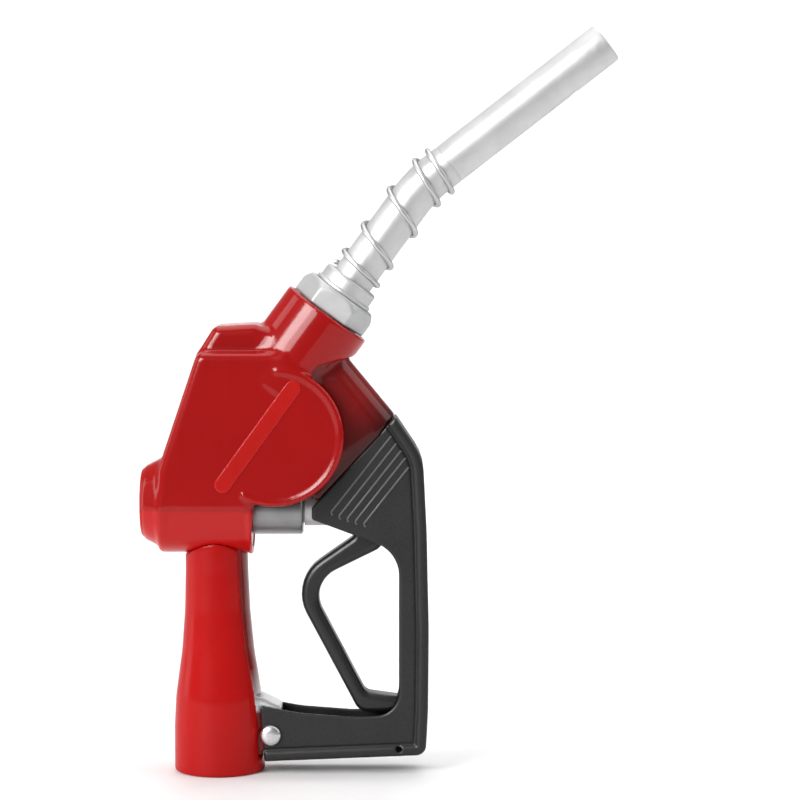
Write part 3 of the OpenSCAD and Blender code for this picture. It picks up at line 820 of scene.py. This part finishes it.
def guard_distance(p):
    x, y, z = p
    edge = flat_distance(rounded_outline(GUARD_WHOLE), x, z)
    guard = plate(p, GUARD_SIDE + GUARD_GAP, GUARD_HALF, 1.1)
    outline = flat_distance(rounded_outline(GUARD_SIDE + GUARD_GAP), x, z)
    # Raised bead along the outer edge, with a fine groove beside it
    band = np.maximum(outline, -(edge + BEAD))
    guard = join(guard, common(band, np.abs(y) - GUARD_HALF - BEAD_HEIGHT, 1.9), 0.3)
    groove = np.hypot(edge + BEAD + 0.7, np.abs(y) - GUARD_HALF - 0.1) - 0.85
    guard = cut(guard, groove, 0.3)
    # Channel between the cheeks, the rivet's hole, and the small hole in the near cheek's corner
    channel = common(edge + WEB, np.abs(y) - CHEEK_INNER, 1.5)
    guard = cut(guard, channel, 0.6)
    guard = cut(guard, np.hypot(x - RIVET[0], z - RIVET[1]) - RIVET_HOLE_R, 0.2)
    corner_hole = np.hypot(x - CORNER_HOLE[0], z - CORNER_HOLE[1]) - CORNER_HOLE_R
    return cut(guard, np.maximum(corner_hole, y), 0.1)


# Fine raised ribs: their direction, where each starts, how far from the outer edge they end, and section
RIB_DIR = np.array([0.618, 0.786])
RIB_STARTS = [(55.4, 129.3), (59.3, 127.4), (63.3, 126.0), (67.3, 124.8), (71.5, 123.6)]
RIB_ENDS_INSET = 7.0
RIB_R = 0.52
RIB_SIDES = 8


def rib_line(start, side_edge):
    """Points of one rib in x and z: a small hook at its lower end, then straight to near the outer edge."""
    across = np.array([RIB_DIR[1], -RIB_DIR[0]])
    length = 1.0
    while length < 80:
        at = start + length * RIB_DIR
        if flat_distance(side_edge, np.array([at[0]]), np.array([at[1]]))[0] > -RIB_ENDS_INSET:
            break
        length += 0.25
    hook = [start + 1.5 * across - 0.3 * RIB_DIR,
            start + 1.0 * across + 0.05 * RIB_DIR,
            start + 0.4 * across + 0.35 * RIB_DIR]
    return np.array([*hook, start + 1.0 * RIB_DIR, start + length * RIB_DIR])


def guard_ribs():
    """Five ribs on each cheek, as round rods half sunk in it."""
    side_edge = rounded_outline(GUARD_WHOLE)
    angles = np.linspace(0, 2 * math.pi, RIB_SIDES + 1)[:-1]
    ring = np.array([(math.cos(a), math.sin(a)) for a in angles]) * RIB_R
    points, faces = [], []
    for face in (-1, 1):
        for start in RIB_STARTS:
            line = rib_line(np.array(start), side_edge)
            tangent = np.gradient(line, axis=0)
            tangent /= np.linalg.norm(tangent, axis=1)[:, None]
            base = len(points)
            for at, along in zip(line, tangent):
                out = np.array([along[1], -along[0]])
                for a, b in ring:
                    points.append((at[0] + a * out[0], face * (GUARD_HALF + 0.05) + b, at[1] + a * out[1]))
            faces += tube_faces(len(line), RIB_SIDES, base)
    ribs = new_object("guard_ribs", np.array(points), faces)
    weld(ribs)
    finish_piece(ribs, "root", [], MATERIALS["ribs"])

# ---- Lever ----

LEVER = [(61.5, 134, 1.5), (61.5, 127, 2.5), (67.9, 117.8, 3), (34.8, 94.7, 20.5), (69.4, 29.4, 7),
         (90, 29.5, 2), (90, 37, 2), (72.6, 39.4, 5), (44.3, 93.6, 14.7), (78.5, 110.4, 5), (83.2, 115.4, 6),
         (84.8, 126, 10), (86, 151.1, 8), (82, 158.5, 7.5), (72, 157.0, 7.5)]
LEVER_HALF = 7.0
LEVER_EDGE = 3.2
LEVER_SLOT = [(60, 162, 1), (64, 143.5, 1), (78, 139.6, 4), (91, 148, 1), (91, 165, 1)]
LEVER_SLOT_HALF = 3.3
LEVER_HOLE_R = 2.6


def lever_distance(p):
    x, _, z = p
    lever = plate(p, LEVER, LEVER_HALF, LEVER_EDGE)
    lever = cut(lever, plate(p, LEVER_SLOT, LEVER_SLOT_HALF, 0.1), 0.5)
    return cut(lever, np.hypot(x - FULCRUM[0], z - FULCRUM[2]) - LEVER_HOLE_R, 0.3)


# ---- Neck and spout ----

BEND_STEPS = 24
SPOUT_INSIDE_NECK = 10.0
TUBE_SIDES = 128
# Distances along the straight end: to the groove, and back from the tip to the sensing hole
GROOVE = 8.0
GROOVE_DEPTH = 0.25
SENSING_BACK = 27.0
SENSING_R = 2.7


def line_at(distance):
    """Middle, heading and side direction at a length past the neck's end."""
    side = np.array([NECK_DIR[2], 0, -NECK_DIR[0]])
    start, length = APEX - BEND_R * math.tan(BEND / 2), BEND_R * BEND
    a = BEND * min(1.0, max(0.0, (distance - start) / length))
    heading = math.cos(a) * NECK_DIR + math.sin(a) * side
    out = math.cos(a) * side - math.sin(a) * NECK_DIR
    if distance <= start:
        return NECK_END + distance * NECK_DIR, heading, out
    centre = NECK_END + start * NECK_DIR + BEND_R * (side - out)
    return centre + max(0.0, distance - start - length) * heading, heading, out


def tube_faces(rings, sides, base=0):
    """Faces of a tube of rings of points, with flat ends."""
    faces = [(base + i * sides + j, base + i * sides + (j + 1) % sides,
              base + (i + 1) * sides + (j + 1) % sides, base + (i + 1) * sides + j)
             for i in range(rings - 1) for j in range(sides)]
    first = tuple(base + j for j in range(sides - 1, -1, -1))
    last = tuple(base + (rings - 1) * sides + j for j in range(sides))
    return faces + [first, last]


def spout_rings(leg):
    """Rings (middle, side direction, radius) up the outside of the tube, round its tip and back inside."""
    reach = BEND_R * math.tan(BEND / 2)
    bend = [APEX - reach + BEND_R * BEND * i / BEND_STEPS for i in range(BEND_STEPS + 1)]
    path = [line_at(d) for d in (-SPOUT_INSIDE_NECK, *bend)]
    bend_end, _, tip_side = path[-1]
    outer = [(centre, side, SPOUT_R) for centre, _, side in path]
    for t, q in ((GROOVE - 0.5, 0), (GROOVE - 0.3, -GROOVE_DEPTH), (GROOVE + 0.3, -GROOVE_DEPTH),
                 (GROOVE + 0.5, 0), (leg - 34, 0), (leg - 20, 0), (leg - 1.3, 0), (leg - 0.6, -0.12),
                 (leg - 0.2, -0.32), (leg, -0.6)):
        outer.append((bend_end + t * TIP_DIR, tip_side, SPOUT_R + q))
    bore = SPOUT_R - SPOUT_WALL
    inner = [(bend_end + t * TIP_DIR, tip_side, bore + q)
             for t, q in ((leg, 0.35), (leg - 0.4, 0.05), (leg - 1.0, 0))]
    inner += [(centre, side, bore) for centre, _, side in reversed(path)]
    return outer + inner


def spout_tube():
    """The tube as one wall, its tip rolled smooth, with the sensing hole cut through its underside."""
    leg = TIP_LEG - BEND_R * math.tan(BEND / 2)
    loop = spout_rings(leg)
    points = []
    for centre, side, radius in loop:
        for j in range(TUBE_SIDES):
            a = 2 * math.pi * j / TUBE_SIDES
            points.append(centre + radius * (math.cos(a) * side + math.sin(a) * ACROSS))
    n, m = len(loop), TUBE_SIDES
    faces = [(i * m + j, ((i + 1) % n) * m + j, ((i + 1) % n) * m + (j + 1) % m, i * m + (j + 1) % m)
             for i in range(n) for j in range(m)]
    tube = new_object("spout_barrel", np.array(points), faces)
    weld(tube)

    bend_end, _, tip_side = line_at(APEX - BEND_R * math.tan(BEND / 2) + BEND_R * BEND)
    hole_at = bend_end + (leg - SENSING_BACK) * TIP_DIR
    drill = spun("drill", [(4, 0), (4, SENSING_R), (14, SENSING_R), (14, 0)], hole_at, tip_side, 48)
    modifier = tube.modifiers.new("sensing_hole", "BOOLEAN")
    modifier.operation = "DIFFERENCE"
    modifier.object = drill
    modifier.solver = "EXACT"
    bpy.context.view_layer.update()
    evaluated = tube.evaluated_get(bpy.context.evaluated_depsgraph_get())
    drilled = bpy.data.meshes.new_from_object(evaluated)
    tube.modifiers.clear()
    tube.data = drilled
    bpy.data.objects.remove(drill)
    tube.data.shade_smooth()
    tube.data.set_sharp_from_angle(angle=math.radians(40))
    return tube


SPRING_WIRE = 2.6
SPRING_FROM, SPRING_TO = 22.4, 90.0
SPRING_TURNS = 5
STEPS_A_TURN = 72
WIRE_SIDES = 20
# How much the pitch closes up towards both ends
CLOSING = 0.1


def spout_spring():
    """Round wire wound left-handed on the spout, closer at both ends, with ground ends."""
    steps = STEPS_A_TURN * SPRING_TURNS
    length = SPRING_TO - SPRING_FROM
    radius = SPOUT_R + SPRING_WIRE / 2 + 0.1
    centres, middles = [], []
    for i in range(steps + 1):
        u = i / steps
        closed = u - CLOSING * math.sin(2 * math.pi * u)
        centre, _, side = line_at(SPRING_FROM + length * closed)
        a = math.pi - 2 * math.pi * SPRING_TURNS * u
        centres.append(centre + radius * (math.cos(a) * side + math.sin(a) * ACROSS))
        middles.append(line_at(SPRING_FROM + length * u)[0])
    centres, middles = np.array(centres), np.array(middles)
    tangent = np.gradient(centres, axis=0)
    tangent /= np.linalg.norm(tangent, axis=1)[:, None]
    out = centres - middles
    out -= (out * tangent).sum(1)[:, None] * tangent
    out /= np.linalg.norm(out, axis=1)[:, None]
    up = np.cross(tangent, out)
    # The wire thins at its two ends
    wire = np.full(steps + 1, SPRING_WIRE / 2)
    wire[0] = wire[-1] = 0.72 * SPRING_WIRE / 2
    wire[1] = wire[-2] = 0.94 * SPRING_WIRE / 2
    angles = 2 * math.pi * np.arange(WIRE_SIDES) / WIRE_SIDES
    around = (np.cos(angles)[None, :, None] * out[:, None, :]
              + np.sin(angles)[None, :, None] * up[:, None, :])
    points = (centres[:, None, :] + wire[:, None, None] * around).reshape(-1, 3)
    spring = new_object("spout_spring_wire", points, tube_faces(steps + 1, WIRE_SIDES))
    weld(spring)
    return spring


# Half the nut's width across flats, its height, the cone that takes its corners off, and its shank
NUT_HALF_FLATS = 17.6
NUT_HEIGHT = 12.0
NUT_CONE_R, NUT_CONE_SLOPE = 25.2, 0.62
NUT_SHANK_R, NUT_SHANK_FROM = 16.4, -9.4
NUT_BORE_R = 14.3


def nut_distance(p):
    _, y, _ = p
    t, q, u = axial(p, NECK_END, NECK_DIR)
    flats = np.full(np.broadcast_shapes(t.shape, y.shape), -1e9, np.float32)
    for k in range(6):
        a = math.radians(60 * k + 30)
        flats = np.maximum(flats, u * math.cos(a) + y * math.sin(a) - NUT_HALF_FLATS)
    cone = (q - (NUT_CONE_R - NUT_CONE_SLOPE * t)) / math.hypot(1, NUT_CONE_SLOPE)
    nut = common(flats, np.maximum(0.2 - t, t - NUT_HEIGHT), 1.0)
    nut = common(nut, cone, 0.8)
    shank = common(q - NUT_SHANK_R, np.maximum(NUT_SHANK_FROM - t, t - 3), 0.3)
    return cut(np.minimum(nut, shank), q - NUT_BORE_R, 0.5)

# ---- Turned pieces: profiles (distance along the axis, radius, corner radius) ----

COLLAR = [(-16, 9.2, 0.2), (-16, 16.4, 0.4), (-12, 16.4, 0.4), (-12, 14.2, 0.4), (12.1, 14.2, 0.1),
          (12.1, 15.4, 0.4), (13.7, 15.4, 0.5), (13.9, 14.2, 0.4), (20.3, 14.2, 1.6), (20.3, 10.4, 0.4),
          (-10, 10.4, 0.2), (-10, 9.2, 0.2)]
BUSHING = [(13, 3.2, 0.2), (13, 10.9, 0.6), (17, 10.9, 0.2), (17, 12.8, 0.5), (41.8, 12.8, 1.3),
           (41.8, 7.1, 0.3), (36, 7.1, 0.2), (36, 3.2, 0.2)]
# Without corner radii: the cap under the nose, and the rivet's head from its rim to its middle
NOSE_CAP = [(-37.8, 0), (-37.8, 15.9), (-37.4, 16.6), (-36.6, 17.2), (-35.6, 17.7), (-30, 17.75),
            (-30, 11.5), (-34, 11.5), (-34, 0)]
RIVET_HEAD = [(0.0, 5.25), (0.5, 5.25), (1.1, 5.0), (1.6, 4.5), (2.1, 3.7), (2.4, 2.7), (2.58, 1.4),
              (2.6, 0.0)]
RIVET_UNDER_HEAD = 11.6
RIVET_SHANK_R = 2.55


def rivet_profile():
    far = [(RIVET_UNDER_HEAD + t, q) for t, q in RIVET_HEAD]
    near = [(-t, q) for t, q in reversed(far)]
    return near + [(-RIVET_UNDER_HEAD, RIVET_SHANK_R), (RIVET_UNDER_HEAD, RIVET_SHANK_R)] + far


# ---- All the pieces ----

KEPT_EDGE = 0.25


def keep_node(name, slot, rounded):
    """A CAD node that stays, with a material and, where asked, small rounded edges."""
    node = NODES[name]
    node.data.materials.clear()
    node.data.materials.append(MATERIALS[slot])
    if rounded:
        joint = node.modifiers.new("weld", "WELD")
        joint.merge_threshold = 0.00001
        edge = node.modifiers.new("edges", "BEVEL")
        edge.width = KEPT_EDGE * MM
        edge.segments = 3
        edge.limit_method = "ANGLE"
        edge.angle_limit = math.radians(35)
        edge.harden_normals = False


def build():
    """Makes every piece, puts it on its body, and gives the CAD nodes that stay their looks."""
    done = set()

    def piece(obj, node, look=None, body="root"):
        slot = SLOTS[node]
        finish_piece(obj, body, [node], MATERIALS[look or slot])
        done.add(node)

    # Each box is a little larger than the shape: low corner, high corner, grid step
    piece(solid("cover_shell", cover_distance, (-38, -25, 107), (76, 25, 243), 0.95), "scuff_cover")
    pad = solid("blank_pad", pad_distance, (-20, -24.6, 130), (60, 24.6, 206), 0.55)
    finish_piece(pad, "root", [], MATERIALS["pad"])
    sleeve = solid("hand_sleeve", sleeve_distance, (-23, -23, 0), (23, 23, 120), 0.9)
    piece(sleeve, "hand_insulator", "sleeve")
    piece(solid("body_shell", casting_distance, (-31, -21.5, 0), (92, 21.5, 241), 1.0), "body_casting")
    piece(solid("guard_frame", guard_distance, (19, -12, 4), (105, 12, 178), 0.62), "lever_guard")
    squeezed = solid("squeeze_lever", lever_distance, (40, -7.2, 28), (91, 7.2, 160), 0.6)
    piece(squeezed, "lever", body="lever")
    piece(solid("spout_lock_nut", nut_distance, (35, -21, 205), (90, 21, 252), 0.6), "spout_nut")
    piece(spout_tube(), "spout_tube")
    piece(spout_spring(), "spout_spring")
    valve, nose = (0, 0, VALVE_Z), (0, 0, NOSE_Z)
    piece(spun("spout_collar", rounded_profile(COLLAR), NECK_END, NECK_DIR, 128), "spout_adaptor")
    piece(spun("nose_cap", NOSE_CAP, nose, (1, 0, 0)), "valve_cap")
    # The bushing takes the alloy darkened as painted shadow
    piece(spun("bushing", rounded_profile(BUSHING), valve, (1, 0, 0)), "stem_bushing", "alloy_painted_shadow")
    piece(spun("rivet", rivet_profile(), (RIVET[0], 0, RIVET[1]), ACROSS, 64), "guard_rivet")
    guard_ribs()

    for name, slot in SLOTS.items():
        if name not in done:
            faceted = name.endswith("_spring") or name.endswith("_o_ring")
            keep_node(name, slot, not faceted)


# ---- Studio ----

def studio():
    """Pale floor and backdrop in one sweep, soft lights and the camera. All in metres and watts."""
    floor_material, shader = start_material("pale_floor", (0.9, 0.9, 0.9), 0.6)
    _, wires = links(floor_material)
    speckle = noise(floor_material, coordinates(floor_material), 40, 2)
    wires.new(spread(floor_material, speckle, 0.55, 0.65), shader.inputs["Roughness"])
    front, back, top, curve = -0.9, 2.8, 4.0, 1.2
    bend = [(back - curve + curve * math.sin(a), curve - curve * math.cos(a))
            for a in np.linspace(0, math.pi / 2, 16)]
    rows = [(front, 0.0), *bend, (back, top)]
    points = [(x, y, z) for y, z in rows for x in (-1.1, 1.3)]
    faces = [(2 * i, 2 * i + 1, 2 * i + 3, 2 * i + 2) for i in range(len(rows) - 1)]
    floor = new_object("studio_sweep", np.array(points) / MM, faces)
    floor.data.materials.append(floor_material)

    world = bpy.data.worlds.new("studio_world")
    world.use_nodes = True
    background = world.node_tree.nodes["Background"]
    background.inputs["Color"].default_value = (1, 1, 1, 1)
    background.inputs["Strength"].default_value = 0.24
    bpy.context.scene.world = world

    def area(name, where, aim, size, power):
        light = bpy.data.lights.new(name, "AREA")
        light.shape = "RECTANGLE"
        light.size, light.size_y = size
        light.energy = power
        obj = bpy.data.objects.new(name, light)
        bpy.context.scene.collection.objects.link(obj)
        obj.location = where
        obj.rotation_euler = (Vector(aim) - Vector(where)).to_track_quat("-Z", "Y").to_euler()
        return obj

    aim = (0.08, 0, 0.18)
    area("key", (-1.05, -1.15, 1.1), aim, (0.75, 0.75), 18)
    # Only seen in gloss, for the broad highlights on the neck and the spout
    highlight = area("highlight", (-0.865, -1.3, 0.92), (0.045, 0, 0.205), (1.0, 1.0), 36)
    highlight.visible_diffuse = False
    area("left_edge", (-1.2, 0.15, 0.45), aim, (0.5, 1.2), 5)
    area("right_edge", (1.15, 0.0, 0.9), aim, (0.9, 1.2), 7)
    area("overhead", (0.1, 0.6, 2.2), (0.1, 0.6, 0), (2.0, 2.6), 38)
    area("backdrop_wash", (0.1, 1.2, 1.7), (0.1, 2.7, 0.4), (1.8, 0.5), 18)

    lens = bpy.data.cameras.new("camera")
    lens.lens = 119.07
    lens.sensor_width = 36
    camera = bpy.data.objects.new("camera", lens)
    camera.location = (0.08955, -1.3, 0.2855)
    looks_at = Vector((0.08955, 0, 0.18405))
    camera.rotation_euler = (looks_at - camera.location).to_track_quat("-Z", "Y").to_euler()
    bpy.context.scene.collection.objects.link(camera)
    bpy.context.scene.camera = camera


bpy.context.scene.view_settings.view_transform = "Standard"
studio()
build()
